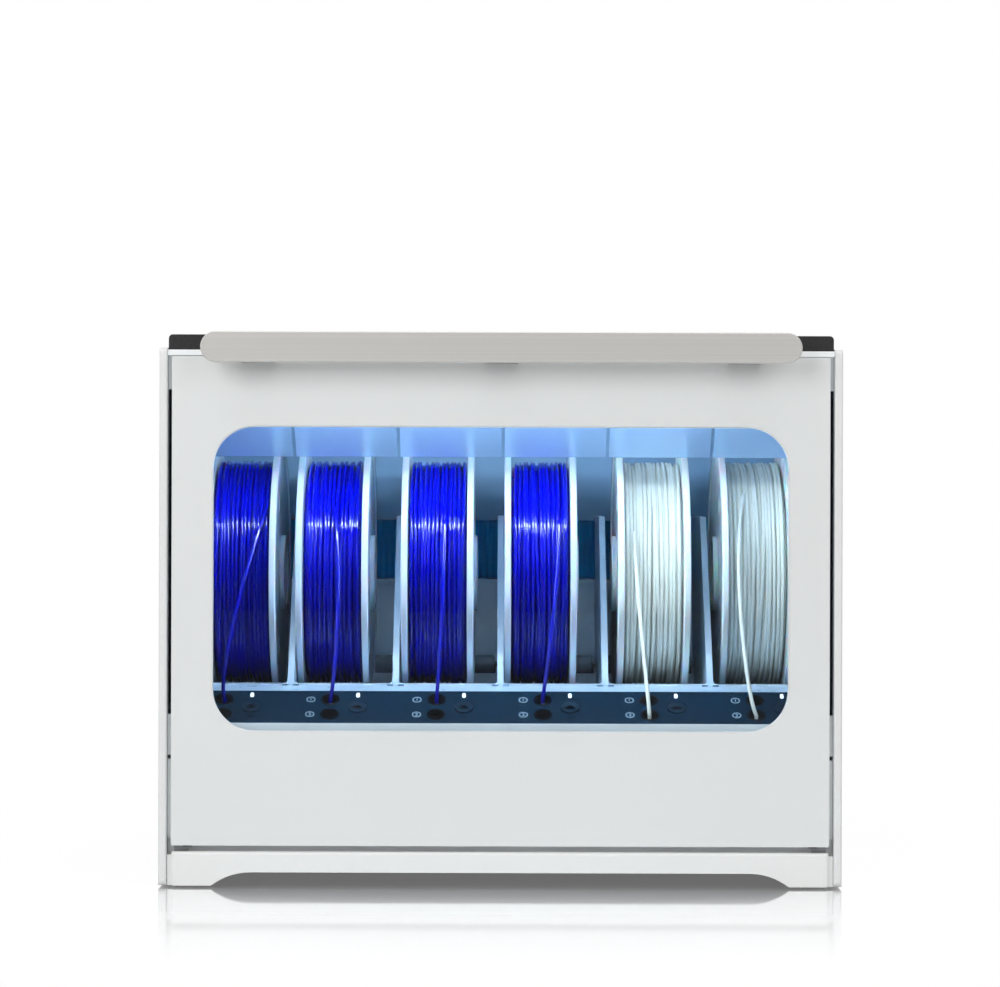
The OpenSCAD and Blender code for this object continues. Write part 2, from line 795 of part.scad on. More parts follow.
module eject_button(i) {
    under = -strip_t - running_gap;
    color("#3a4a57") in_cabinet() on_strip() translate([bay_x(i) + button_x, -button_row, 0]) {
        difference() {
            translate([0, 0, under - 1]) cylinder(r = button_r, h = 0.6 - under + 1);
            translate([0, 0, 0.6 + 39.6]) sphere(r = 40, $fn = 120);
        }
        translate([0, 0, under - 1]) cylinder(r = button_r + 1, h = 1);
        translate([0, 0, under - 4]) cylinder(r = 2.5, h = 3.5);
    }
}

// ---- Feeders below the strip ----

module feeder_outline() {
    front = frame_back + feeder_gap;
    rear = front + feeder_d;
    slope = tan(strip_angle);
    drop = feeder_drop / cos(strip_angle);
    polygon([[front, tray_floor], [rear, tray_floor],
        [rear, apron_top - drop + (rear - strip_foot[0]) * slope],
        [front, apron_top - drop + (front - strip_foot[0]) * slope]]);
}

module feeder_units() {
    tube = guide_r + 2;
    low = -feeder_drop - 2;
    color("#8d969e") in_cabinet() for (i = bays) {
        difference() {
            union() {
                across(feeder_w, bay_x(i)) feeder_outline();
                rod_x(motor_r, bay_x(i) - feeder_w / 2 - motor_reach, bay_x(i) + feeder_w / 2,
                    [frame_back + feeder_gap + feeder_d - motor_r, tray_floor + motor_r + 2]);
                on_strip() for (row = inlet_rows)
                    translate([bay_x(i) + inlet_x, -row, low])
                        cylinder(r = tube, h = -inlet_depth - 1.2 - low);
            }
            on_strip() for (row = inlet_rows)
                translate([bay_x(i) + inlet_x, -row, low - 10])
                    cylinder(r = guide_r, h = -inlet_depth - low + 12);
        }
    }
}

// ---- Spools ----

// Half section of a spool: radius and place along the axis
module spool_section(left_lip, right_lip) {
    half = spool_w / 2;
    inner = half - flange_t;
    rim_in = spool_r - rim_band;
    face = half - flange_recess;
    polygon([
        [hub_bore_r, -half - left_lip], [hub_ring_r - 0.6, -half - left_lip],
        [hub_ring_r, -half - left_lip + 0.6], [hub_ring_r, -face],
        [rim_in, -face], [rim_in + 1, -half], [spool_r - 0.8, -half],
        [spool_r, -half + 0.8], [spool_r, -inner - 0.6], [spool_r - 0.6, -inner],
        [barrel_r + 2, -inner], [barrel_r, -inner + 2], [barrel_r, inner - 2],
        [barrel_r + 2, inner], [spool_r - 0.6, inner], [spool_r, inner + 0.6],
        [spool_r, half - 0.8], [spool_r - 0.8, half], [rim_in + 1, half],
        [rim_in, face], [hub_ring_r, face], [hub_ring_r, half + right_lip - 0.6],
        [hub_ring_r - 0.6, half + right_lip], [hub_bore_r, half + right_lip]]);
}

module on_axle(i) {
    translate([spool_x(i), spool_d, spool_z]) rotate([0, 90, 0]) children();
}

module spool(i) {
    natural = i > 3;
    color(natural ? "#e9ecea" : "#dfe9f5") in_cabinet() on_axle(i) difference() {
        rotate_extrude($fn = 180) spool_section(natural ? hub_lip : 0, hub_lip);
        // windows in the flanges that show how much is left
        for (turn = [0:120:240]) rotate([0, 0, turn]) translate([0, barrel_r + 14, -spool_w])
            cylinder(r = 7, h = 2 * spool_w);
    }
}

// Each turn shows as a ridge, with a groove to its neighbours
module filament(i) {
    inner = spool_w / 2 - flange_t - 0.2;
    turns = floor(2 * inner / filament_d);
    pitch = 2 * inner / turns;
    color(i > 3 ? "#efeee6" : "#0b17e0") in_cabinet() on_axle(i) rotate_extrude($fn = 120)
        polygon(concat(
            [[winding_r - turn_groove, inner], [barrel_r + 2.2, inner], [barrel_r + 0.2, inner - 2],
                [barrel_r + 0.2, 2 - inner], [barrel_r + 2.2, -inner]],
            [for (k = [0:turns - 1]) each [[winding_r - turn_groove, (k - turns / 2) * pitch],
                [winding_r, (k + 0.3 - turns / 2) * pitch],
                [winding_r, (k + 0.7 - turns / 2) * pitch]]]));
}

// ---- Rollers ----

module roller(i, at) {
    half = roller_len / 2;
    pin = half + pin_len;
    color("#5d6a74") in_cabinet() translate([bay_x(i), at[0], at[1]]) rotate([0, 90, 0])
        rotate_extrude() polygon([[0, -pin], [roller_pin_r - 0.3, -pin],
            [roller_pin_r, -pin + 0.3], [roller_pin_r, -half], [roller_r - 0.8, -half],
            [roller_r, -half + 0.8], [roller_r, half - 0.8], [roller_r - 0.8, half],
            [roller_pin_r, half], [roller_pin_r, pin - 0.3], [roller_pin_r - 0.3, pin], [0, pin]]);
}

// ---- Filament on its way from the spools to the inlets ----

strand_r = filament_d / 2;
strand_clear = 0.5;
// Where each strand leaves its winding, sideways from the spool's middle
strand_off = [20, 1.2, 5.6, 14, -15.2, -10];
// Angle of that place above the spool axis
strand_angle = [36, 35, 28, 28, 22, 44];
// Sideways sway of each strand below its winding, and above its inlet
strand_sway = [[-16, -4], [8, 3], [0, 1], [0, 1], [2, -1], [-12, -8]];
// Row of the inlet that each strand enters
strand_row = [0, 0, 0, 0, 1, 1];
// Height above its inlet at which each strand lines up with it
strand_rise = [24, 12, 12, 12, 12, 16];

function cubic(a, b, c, d, t) =
    pow(1 - t, 3) * a + 3 * t * pow(1 - t, 2) * b + 3 * t * t * (1 - t) * c + pow(t, 3) * d;

// Centre line of a strand, in X, depth and height
function strand_path(i, steps) = let (
    r = winding_r + strand_r + strand_clear,
    turn = strand_angle[i],
    start = [spool_x(i) + strand_off[i], spool_d - r * cos(turn), spool_z + r * sin(turn)],
    row = inlet_rows[strand_row[i]],
    mouth = [bay_x(i) + inlet_x, strip_head[0] - row * cos(strip_angle),
        strip_head[1] - row * sin(strip_angle)],
    out = [0, -sin(strip_angle), cos(strip_angle)],
    leave = 0.4 * norm(start - mouth) * [0, -sin(turn), -cos(turn)] + [strand_sway[i][0], 0, 0],
    enter = strand_rise[i] * out + [strand_sway[i][1], 0, 0]
) concat(
    [for (k = [0:steps]) cubic(start, start + leave, mouth + enter, mouth, k / steps)],
    [for (k = [1:2]) mouth - out * (inlet_depth - 2) * k / 2]);

// A round tube along a path that runs mostly up and down
module tube_along(path, r, sides = 8) {
    last = len(path) - 1;
    rings = [for (k = [0:last]) let (
        t = path[min(k + 1, last)] - path[max(k - 1, 0)],
        tangent = t / norm(t),
        side_v = cross(tangent, [1, 0, 0]),
        u = side_v / norm(side_v),
        v = cross(tangent, u)
    ) [for (s = [0:sides - 1]) path[k] + r * (cos(360 * s / sides) * u + sin(360 * s / sides) * v)]];
    points = [for (ring = rings) each ring];
    walls = [for (k = [0:last - 1], s = [0:sides - 1]) let (n = (s + 1) % sides)
        each [[k * sides + s, (k + 1) * sides + s, (k + 1) * sides + n],
            [k * sides + s, (k + 1) * sides + n, k * sides + n]]];
    low_cap = [for (s = [0:sides - 1]) s];
    high_cap = [for (s = [sides - 1:-1:0]) last * sides + s];
    polyhedron(points, concat([low_cap], walls, [high_cap]));
}

module filament_strands() {
    for (i = bays) color(i > 3 ? "#efeee6" : "#0b17e0") in_cabinet()
        tube_along(strand_path(i, 14), strand_r);
}

// ---- Door ----

module window_outline(grow) {
    soft_rect([-window_w / 2 - grow, window_low - grow],
        [window_w / 2 + grow, window_low + window_h + grow], window_r + grow);
}

// Blind pockets above and below the window, with ribs between
module door_pockets() {
    half = door_half - door_rim;
    top = [window_low + window_h + window_land, door_top - door_rim];
    low = [door_low + door_rim_low, window_low - window_land];
    cells = floor(2 * half / rib_pitch);
    cell = 2 * half / cells;
    for (span = [top, low], k = [0:cells - 1])
        translate([k * cell - half, span[0]]) square([cell - rib_t, span[1] - span[0]]);
}

module door_panel() {
    notch_x = inner_half - hinge_inset - 2 * knuckle_len - 2.2;
    color("#f3f5f7") in_cabinet() difference() {
        facing(door_t, 0) soft_rect([-door_half, door_low], [door_half, door_top], door_r);
        facing(door_t + 2, -1) window_outline(0);
        facing(door_t, door_t - pane_t - running_gap) window_outline(pane_lap + running_gap);
        facing(door_t, door_skin) door_pockets();
        mirrored() block([notch_x, hinge_d - knuckle_r - running_gap, door_low - 1],
            [door_half + 1, door_t + 1, hinge_z + knuckle_r + 1.3]);
    }
}

module door_window() {
    color("#cfe0ee", 0.25) in_cabinet()
        facing(pane_t, door_t - pane_t - running_gap) window_outline(pane_lap);
}

module door_gasket() {
    out_x = door_half - seal_inset;
    low = door_low + seal_inset_low;
    high = door_top - seal_inset;
    depth = frame_setback - door_t - running_gap;
    color("#d7dade") in_cabinet() facing(depth, door_t) difference() {
        soft_rect([-out_x, low], [out_x, high], 10);
        soft_rect([seal_w - out_x, low + seal_w], [out_x - seal_w, high - seal_w], 5);
    }
}

// A plate with round ends and a chamfered face, its face on the depth `face`
module door_handle() {
    r = handle_h / 2;
    mid_z = door_top - handle_lap + r;
    arm = handle_len / 2 - r;
    c = handle_bevel;
    face = -handle_reach;
    back = handle_t - handle_reach;
    color("#c4c2bd") in_cabinet() {
        across(2 * arm) polygon([[face, mid_z - r + c], [face + c, mid_z - r], [back, mid_z - r],
            [back, mid_z + r], [face + c, mid_z + r], [face, mid_z + r - c]]);
        for (x = [-arm, arm]) translate([x, 0, mid_z]) rotate([-90, 0, 0]) rotate_extrude($fn = 96)
            polygon([[0, face], [r - c, face], [r, face + c], [r, back], [0, back]]);
    }
}

module handle_standoffs() {
    color("#9a9a98") in_cabinet() for (x = [-standoff_x, 0, standoff_x])
        block([x - standoff_len / 2, handle_t - handle_reach, door_top - handle_lap + 0.3],
            [x + standoff_len / 2, 0, door_top - 0.3]);
}

// Each hinge from the side panel inwards: the base's knuckle, then the door's
hinge_out = inner_half - hinge_inset;
hinge_mid = hinge_out - knuckle_len;
hinge_in = hinge_mid - knuckle_len - running_gap;

module door_hinge_arms() {
    low = hinge_z + knuckle_r + 1.3;
    high = door_low + seal_inset_low - 1.3;
    axis = [hinge_d, hinge_z];
    color("#43484d") in_cabinet() mirrored() difference() {
        union() {
            rod_x(knuckle_r, hinge_in, hinge_mid - running_gap, axis);
            block([hinge_in, door_t, hinge_z], [hinge_mid - running_gap, door_t + leaf_t, high]);
            block([hinge_in, door_t, low], [hinge_out, door_t + leaf_t, high]);
        }
        rod_x(hinge_pin_r + hinge_fit, hinge_in - 1, hinge_mid, axis);
    }
}

module hinge_brackets() {
    axis = [hinge_d, hinge_z];
    color("#3a3e42") in_cabinet() mirrored() {
        rod_x(knuckle_r, hinge_mid, hinge_out, axis);
        rod_x(hinge_pin_r, hinge_in, hinge_out, axis);
        block([hinge_mid, hinge_d, hinge_z - knuckle_r], [hinge_out, tray_setback, hinge_z]);
        block([hinge_mid - bracket_side, tray_setback - leaf_t, hinge_z - bracket_h],
            [hinge_out, tray_setback, hinge_z]);
    }
}

// ---- Drying unit and other rear parts ----

duct_half = fan_r + 5;

module drying_unit() {
    half = liner_in - 10;
    deep = back_out + plenum_d;
    shroud = rear_d - fan_d[0];
    low = [plenum_z[0] - 4, plenum_z[1] + 4];
    color("#29415a") in_cabinet() {
        difference() {
            union() {
                block([-half, back_out, low[0]], [half, deep, low[1]]);
                block([-duct_half, back_out, fan_z - duct_half],
                    [duct_half, rear_d, fan_z + duct_half]);
            }
            block([duct_t - half, back_out - 1, low[0] + duct_t],
                [half - duct_t, deep - duct_t, low[1] - duct_t]);
            block([duct_t - duct_half, back_out + duct_t, fan_z - duct_half + duct_t],
                [duct_half - duct_t, shroud, fan_z + duct_half - duct_t]);
            rod_y(fan_r, shroud - 1, rear_d + 1, 0, fan_z);
        }
        difference() {
            union() {
                rod_y(fan_hub_r - 2, shroud, shroud + 4, 0, fan_z);
                for (turn = [0:120:240]) translate([0, 0, fan_z]) rotate([0, turn, 0])
                    block([-2.5, shroud, 0], [2.5, shroud + 3, fan_r + 1]);
            }
            rod_y(fan_shaft_r + pin_fit, shroud - 1, shroud + 5, 0, fan_z);
        }
    }
}

module fan_rotor() {
    shroud = rear_d - fan_d[0];
    mid = fan_d[1] / 2;
    front = shroud + 4 + running_gap;
    color("#1d2023") in_cabinet() {
        rod_y(fan_shaft_r, shroud, front + 1, 0, fan_z);
        rod_y(fan_hub_r, front, front + fan_d[1], 0, fan_z);
        intersection() {
            for (k = [0:fan_blades - 1]) translate([0, front + mid, fan_z])
                rotate([0, k * 360 / fan_blades, 0]) rotate([0, 0, 38])
                    block([-1.25 * mid, -0.9, fan_hub_r - 2], [1.25 * mid, 0.9, fan_r]);
            rod_y(fan_r - 1.5, front, front + fan_d[1], 0, fan_z);
        }
    }
}

module outlet_couplers() {
    color("#4b5157") in_cabinet() for (k = [0, 1]) {
        x = coupler_x[0] + k * coupler_x[1];
        difference() {
            union() {
                rod_y(coupler_r, body_d, body_d + coupler_reach, x, coupler_z);
                rod_y(coupler_r - 3, rear_d - 12, body_d + eps, x, coupler_z);
            }
            rod_y(coupler_bore_r, rear_d - 13, body_d + coupler_reach + 1, x, coupler_z);
        }
    }
}

module power_inlet() {
    half = inlet_size / 2;
    color("#202225") in_cabinet() difference() {
        union() {
            facing(2, body_d) translate(inlet_at) soft_rect(-half, half, 3);
            facing(24, body_d - 24 + eps) translate(inlet_at)
                soft_rect(-half + [3.3, 3.3], half - [3.3, 3.3], 2);
        }
        difference() {
            facing(17, body_d - 14) translate(inlet_at)
                soft_rect(-half + [6, 5], half - [6, 5], 3);
            for (x = [-7, 0, 7]) block([inlet_at[0] + x - 1, body_d - 15, inlet_at[1] - 2.5],
                [inlet_at[0] + x + 1, body_d - 2, inlet_at[1] + 2.5]);
        }
    }
}

// A board on four posts behind the bays, with its transformer and connectors
module control_board() {
    low = [board_x[0], back_out + board_gap[0]];
    high = [board_x[1], rear_d - board_gap[1]];
    under = tray_floor + board_rise;
    board_t = 1.6;
    on = under + board_t - eps;
    post_in = 8;
    color("#2f6b45") in_cabinet() {
        block([low[0], low[1], under], [high[0], high[1], under + board_t]);
        for (x = [low[0] + post_in, high[0] - post_in], d = [low[1] + post_in, high[1] - post_in])
            translate([x, d, tray_floor]) cylinder(r = post_in / 2 - 1, h = board_rise + eps);
        block([low[0] + 20, low[1] + 20, on],
            [low[0] + 20 + transformer[0], low[1] + 20 + transformer[0], on + transformer[1]]);
        for (k = [0:5]) translate([low[0] + 72 + k * 14, low[1] + 6, 0])
            block([0, 0, on], [10, 8, under + 12]);
        block([low[0] + 80, low[1] + 40, on], [low[0] + 104, low[1] + 64, under + 5]);
        for (x = [22, 40]) translate([high[0] - x, low[1] + 50, on]) cylinder(r = 6, h = 20);
    }
}

base_tray();
base_fascia();
left_side_panel();
right_side_panel();
rear_panel();
top_cover();
front_frame();
rubber_feet();
chamber_liner();
spool_cradle();
bay_dividers();
bay_hoods();
led_bar();
control_panel();
inlet_cups();
status_lights();
feeder_units();
drying_unit();
outlet_couplers();
hinge_brackets();
filament_strands();
power_inlet();
control_board();
door_panel();
door_window();
door_gasket();
door_handle();
handle_standoffs();
door_hinge_arms();
fan_rotor();
for (i = bays) {
    spool(i);
    filament(i);
    roller(i, front_roller_at);
    roller(i, rear_roller_at);
    eject_button(i);
}
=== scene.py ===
"""Dresses the filament station: finishes, windings, strands, labels, light and camera."""
import json
import math
import random

import bmesh
import bpy
from mathutils import Matrix, Vector

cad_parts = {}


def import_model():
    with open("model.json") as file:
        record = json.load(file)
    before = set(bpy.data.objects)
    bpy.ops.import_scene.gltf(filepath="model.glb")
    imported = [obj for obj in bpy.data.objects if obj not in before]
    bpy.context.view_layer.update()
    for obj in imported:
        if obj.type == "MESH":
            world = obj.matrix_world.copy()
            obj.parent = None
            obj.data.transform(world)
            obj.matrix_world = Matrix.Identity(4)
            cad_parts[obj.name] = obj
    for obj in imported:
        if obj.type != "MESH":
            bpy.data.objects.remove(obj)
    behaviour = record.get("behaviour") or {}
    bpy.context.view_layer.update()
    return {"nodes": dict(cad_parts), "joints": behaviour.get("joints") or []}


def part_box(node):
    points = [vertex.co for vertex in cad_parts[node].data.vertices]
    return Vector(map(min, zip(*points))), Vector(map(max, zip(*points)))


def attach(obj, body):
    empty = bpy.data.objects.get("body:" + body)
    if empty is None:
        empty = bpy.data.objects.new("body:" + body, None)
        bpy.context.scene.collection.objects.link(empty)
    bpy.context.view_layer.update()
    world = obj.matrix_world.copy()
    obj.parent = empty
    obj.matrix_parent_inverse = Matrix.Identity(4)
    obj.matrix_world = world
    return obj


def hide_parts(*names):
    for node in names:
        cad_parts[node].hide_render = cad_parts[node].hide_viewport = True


MM = 0.001
LETTERS = "abcdef"

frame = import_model()
nodes = frame["nodes"]
joint_at = {j["name"]: Vector(j["pos_m"]) for j in frame["joints"] if "pos_m" in j}

# Sizes shared with the part, in metres
FRONT_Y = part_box("left_side_panel")[0].y
WINDING_R = 88 * MM
WINDING_HALF = 22.3 * MM
FILAMENT_R = 1.425 * MM
BAY_PITCH = 79 * MM
STRIP_ANGLE = math.radians(32.5)
STRIP_LEN = 40.5 * MM
STRIP_FOOT = (FRONT_Y + 11.55 * MM, 120.4 * MM)
INLET_X = -8 * MM
BUTTON_X = 12.4 * MM
INLET_ROWS = (11 * MM, 29.6 * MM)
INLET_DEPTH = 9 * MM
BUTTON_ROW = 20.2 * MM
BUTTON_PROUD = 0.45 * MM
WINDOW_HALF_W = 212 * MM
WINDOW_Z = (114.7 * MM, 339.3 * MM)
WINDOW_CORNER = 31 * MM

# Sizes of the scene's own pieces, in metres
CORE_R = 51 * MM
PRINT_T = 0.12 * MM
RING_X = -22.5 * MM
RING_ROWS = (11.0 * MM, 29.5 * MM)
RING_R = (3.3 * MM, 2.75 * MM)
DIGIT_SIZE = 4.6 * MM
LETTER_ROW = 33.2 * MM
LETTER_SIZE = 6.4 * MM
WINDOW_RIM = 0.9 * MM
WINDOW_RIM_Y = (0.4 * MM, 2.6 * MM)
PAD_Z = (219.5 * MM, 269.5 * MM)

# The camera's place and view, from the photograph's perspective
VIEW_DISTANCE = 2.5
VIEW_HEIGHT = 0.290
VIEW_FOCAL_PX = 3406
VIEW_WIDTH_PX = 1000
VIEW_ROLL = math.radians(-0.17)


def srgb(r, g, b):
    """A linear colour from one written in 0 to 255."""
    return tuple((c / 255 / 12.92) if c < 10.4 else ((c / 255 + 0.055) / 1.055) ** 2.4
                 for c in (r, g, b)) + (1.0,)


# ---- Materials ----

class Finish:
    """A node material round one Principled shader."""

    def __init__(self, name, color, roughness, **inputs):
        self.mat = bpy.data.materials.new(name)
        self.mat.use_nodes = True
        self.tree = self.mat.node_tree
        self.bsdf = self.tree.nodes["Principled BSDF"]
        self.color = color
        self.roughness = roughness
        self.set("Base Color", color)
        self.set("Roughness", roughness)
        for socket, value in inputs.items():
            self.set(socket.replace("_", " "), value)

    def set(self, socket, value):
        self.bsdf.inputs[socket].default_value = value

    def node(self, kind, **settings):
        made = self.tree.nodes.new(kind)
        for key, value in settings.items():
            if key in made.inputs:
                made.inputs[key].default_value = value
            else:
                setattr(made, key, value)
        return made

    def link(self, a, b):
        self.tree.links.new(a, b)

    def noise(self, scale, detail=3.0, stretch=(1, 1, 1)):
        """Noise in the object's own space, drawn out along the axes by stretch."""
        place = self.node("ShaderNodeTexCoord")
        mapping = self.node("ShaderNodeMapping")
        mapping.inputs["Scale"].default_value = stretch
        made = self.node("ShaderNodeTexNoise", Scale=scale, Detail=detail)
        self.link(place.outputs["Object"], mapping.inputs["Vector"])
        self.link(mapping.outputs["Vector"], made.inputs["Vector"])
        return made

    def ramp(self, source, low, high, span=(0.3, 0.7)):
        made = self.node("ShaderNodeValToRGB")
        ends = made.color_ramp.elements
        ends[0].position, ends[1].position = span
        ends[0].color, ends[1].color = low, high
        self.link(source, made.inputs["Fac"])
        return made.outputs["Color"]

    def tint(self, scale, amount, stretch=(1, 1, 1)):
        """Small variation of the colour."""
        low = tuple(c * (1 - amount) for c in self.color[:3]) + (1,)
        high = tuple(min(1, c * (1 + amount)) for c in self.color[:3]) + (1,)
        field = self.noise(scale, 4, stretch)
        self.link(self.ramp(field.outputs["Fac"], low, high), self.bsdf.inputs["Base Color"])
        return self

    def uneven(self, scale, amount, stretch=(1, 1, 1)):
        """Small variation of the roughness."""
        field = self.noise(scale, 3, stretch)
        span = self.node("ShaderNodeMapRange")
        span.inputs["To Min"].default_value = max(0, self.roughness - amount)
        span.inputs["To Max"].default_value = min(1, self.roughness + amount)
        self.link(field.outputs["Fac"], span.inputs["Value"])
        self.link(span.outputs["Result"], self.bsdf.inputs["Roughness"])
        return self

    def grain(self, scale, height, strength=1.0, detail=2.0, stretch=(1, 1, 1)):
        """Fine relief, its height in metres."""
        field = self.noise(scale, detail, stretch)
        bump = self.node("ShaderNodeBump", Strength=strength, Distance=height)
        self.link(field.outputs["Fac"], bump.inputs["Height"])
        self.link(bump.outputs["Normal"], self.bsdf.inputs["Normal"])
        return self

    def through(self, share, color=(1, 1, 1, 1)):
        """Lets a share of the light through, as thin pale plastic does."""
        out = self.tree.nodes["Material Output"]
        glow = self.node("ShaderNodeBsdfTranslucent", Color=color)
        mix = self.node("ShaderNodeMixShader", Fac=share)
        self.link(self.bsdf.outputs["BSDF"], mix.inputs[1])
        self.link(glow.outputs["BSDF"], mix.inputs[2])
        self.link(mix.outputs["Shader"], out.inputs["Surface"])
        return self

    def clear_shadow(self, color):
        """Light from lamps passes, tinted, where a clear pane would block it."""
        out = self.tree.nodes["Material Output"]
        rays = self.node("ShaderNodeLightPath")
        clear = self.node("ShaderNodeBsdfTransparent", Color=color)
        mix = self.node("ShaderNodeMixShader")
        self.link(rays.outputs["Is Shadow Ray"], mix.inputs["Fac"])
        self.link(self.bsdf.outputs["BSDF"], mix.inputs[1])
        self.link(clear.outputs["BSDF"], mix.inputs[2])
        self.link(mix.outputs["Shader"], out.inputs["Surface"])
        return self


def white_side():
    return (Finish("white_side_shell", srgb(232, 233, 232), 0.42)
            .tint(9, 0.012).uneven(60, 0.05).grain(1800, 0.00006, 0.25))


def white_shell():
    return (Finish("white_moulded_shell", srgb(238, 239, 237), 0.38)
            .tint(7, 0.012).uneven(40, 0.05).grain(2600, 0.00004, 0.2))


def door_plastic():
    return (Finish("white_door_plastic", srgb(238, 240, 239), 0.3, Coat_Weight=0.15)
            .tint(5, 0.01).uneven(30, 0.04).grain(2400, 0.00003, 0.15)
            .through(0.08, srgb(225, 240, 250)))


def cover_grain():
    return (Finish("black_cover_grain", srgb(40, 38, 40), 0.72)
            .tint(700, 0.35).uneven(300, 0.1).grain(900, 0.0004, 0.8, 5))


def brushed_handle():
    return (Finish("brushed_aluminium", srgb(212, 210, 206), 0.4, Metallic=0.4, Anisotropic=0.5)
            .tint(14, 0.05, (0.02, 30, 30)).uneven(30, 0.07, (0.03, 40, 40))
            .grain(60, 0.00008, 0.5, 4, (0.03, 40, 40)))


def blue_filament():
    return (Finish("blue_filament", (0.0, 0.0003, 0.22, 1), 0.09, IOR=1.36)
            .tint(160, 0.12, (1, 0.3, 0.3)).uneven(200, 0.03))


def natural_filament():
    return (Finish("natural_filament", srgb(234, 235, 226), 0.2)
            .tint(140, 0.06, (1, 0.3, 0.3)).uneven(200, 0.06))


def window_glass():
    return (Finish("window_pane", srgb(232, 241, 246), 0.02, Transmission_Weight=1.0, IOR=1.2)
            .grain(30, 0.00001, 0.02).clear_shadow(srgb(190, 195, 199)))


def glowing(name, color, strength):
    made = Finish(name, color, 0.4, Emission_Color=color, Emission_Strength=strength)
    return made.tint(80, 0.01)


def plain(name, color, roughness, grain=1500, height=0.00005, **inputs):
    return (Finish(name, color, roughness, **inputs)
            .tint(20, 0.05).uneven(80, 0.06).grain(grain, height, 0.3))


def dress(finish, *names):
    for name in names:
        mesh = nodes[name].data
        mesh.materials.clear()
        mesh.materials.append(finish.mat)


def each_bay(part):
    return [f"{part}_{letter}" for letter in LETTERS]


strip_finish = plain("strip_plastic", (0.002, 0.011, 0.022, 1), 0.6, 2600, 0.00003,
                     Specular_IOR_Level=0.012)
blue = blue_filament()
natural = natural_filament()

dress(white_side(), "left_side_panel", "right_side_panel")
dress(white_shell(), "base_fascia")
# Painted glow: the frame's faint pale blue emission brightens the window's lower lip, standing in
# for light the chamber lamp does not bring there.
dress(plain("white_frame_painted_glow", srgb(238, 240, 240), 0.4, Emission_Color=(0.85, 0.94, 1.0, 1),
            Emission_Strength=0.1), "front_frame")
dress(plain("grey_sheet", srgb(228, 230, 231), 0.4), "base_tray", "rear_panel")
dress(door_plastic(), "door_panel")
dress(window_glass(), "door_window")
dress(plain("seal_rubber", srgb(200, 204, 208), 0.6), "door_gasket")
dress(cover_grain(), "top_cover")
dress(brushed_handle(), "door_handle")
dress(plain("satin_aluminium", srgb(150, 149, 147), 0.4, Metallic=1.0), "handle_standoffs")
dress(plain("hinge_steel", srgb(74, 78, 82), 0.35, Metallic=1.0), "door_hinge_arms")
dress(plain("bracket_steel", srgb(170, 172, 174), 0.4, Metallic=0.6), "hinge_brackets")
dress(plain("foot_rubber", srgb(34, 34, 35), 0.8, 700, 0.0003), "rubber_feet")
# Painted shade: the liner's darkness and teal tint stand in for the dim, blue-cast light at the
# back of the chamber.
dress(plain("liner_painted_shade", srgb(76, 112, 140), 0.5), "chamber_liner")
# Painted shade: the dividers' blue-grey tint stands in for the blue cast of the chamber's shade.
dress(plain("bay_plastic", srgb(156, 176, 194), 0.3), "bay_dividers")
# Painted highlight: the cradle is made lighter and bluer to stand in for the bright band of lamp
# light on its rear curve and the blue cast of the chamber's shade.
dress(plain("cradle_painted_highlight", srgb(214, 232, 246), 0.26), "spool_cradle")
dress(plain("hood_plastic", srgb(142, 170, 204), 0.2, Metallic=0.3)
      .clear_shadow(srgb(250, 252, 255)), "bay_hoods")
dress(plain("lamp_housing", srgb(225, 228, 230), 0.4), "led_bar")
dress(strip_finish, "control_panel")
dress(plain("inlet_gloss", (0.0004, 0.001, 0.0016, 1), 0.14, Specular_IOR_Level=0.3), "inlet_cups")
dress(glowing("status_lens", (0.9, 0.97, 1.0, 1), 1.4), "status_lights")
dress(plain("feeder_plastic", srgb(96, 102, 108), 0.45), "feeder_units")
dress(plain("duct_plastic", srgb(120, 140, 152), 0.5), "drying_unit")
dress(plain("coupler_plastic", srgb(60, 64, 68), 0.35), "outlet_couplers")
dress(plain("inlet_housing", srgb(30, 31, 33), 0.5), "power_inlet")
dress(plain("board_lacquer", srgb(38, 92, 58), 0.3), "control_board")
dress(plain("fan_plastic", srgb(26, 27, 29), 0.4), "fan_rotor")
dress(plain("button_plastic", (0.0024, 0.012, 0.023, 1), 0.5, Specular_IOR_Level=0.03),
      *each_bay("eject_button"))
dress(plain("roller_rubber", srgb(96, 112, 124), 0.5), *each_bay("front_roller"),
      *each_bay("rear_roller"))
white_flange = (Finish("white_flange", srgb(194, 208, 226), 0.24, Subsurface_Weight=0.25,
                       Subsurface_Scale=0.004).tint(30, 0.03).uneven(50, 0.05))
natural_flange = (Finish("natural_flange", srgb(218, 227, 230), 0.24, Subsurface_Weight=0.3,
                         Subsurface_Scale=0.004).tint(30, 0.03).uneven(50, 0.05))
dress(white_flange, *each_bay("spool")[:4])
dress(natural_flange, *each_bay("spool")[4:])


# ---- Meshes ----

def finish_mesh(name, bm, finish, body, smooth=True):
    """Turns a bmesh into a piece that rides on a body."""
    bmesh.ops.recalc_face_normals(bm, faces=bm.faces)
    mesh = bpy.data.meshes.new(name)
    bm.to_mesh(mesh)
    bm.free()
    for face in mesh.polygons:
        face.use_smooth = smooth
    mesh.materials.append(finish.mat)
    piece = bpy.data.objects.new(name, mesh)
    bpy.context.scene.collection.objects.link(piece)
    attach(piece, body)
    return piece


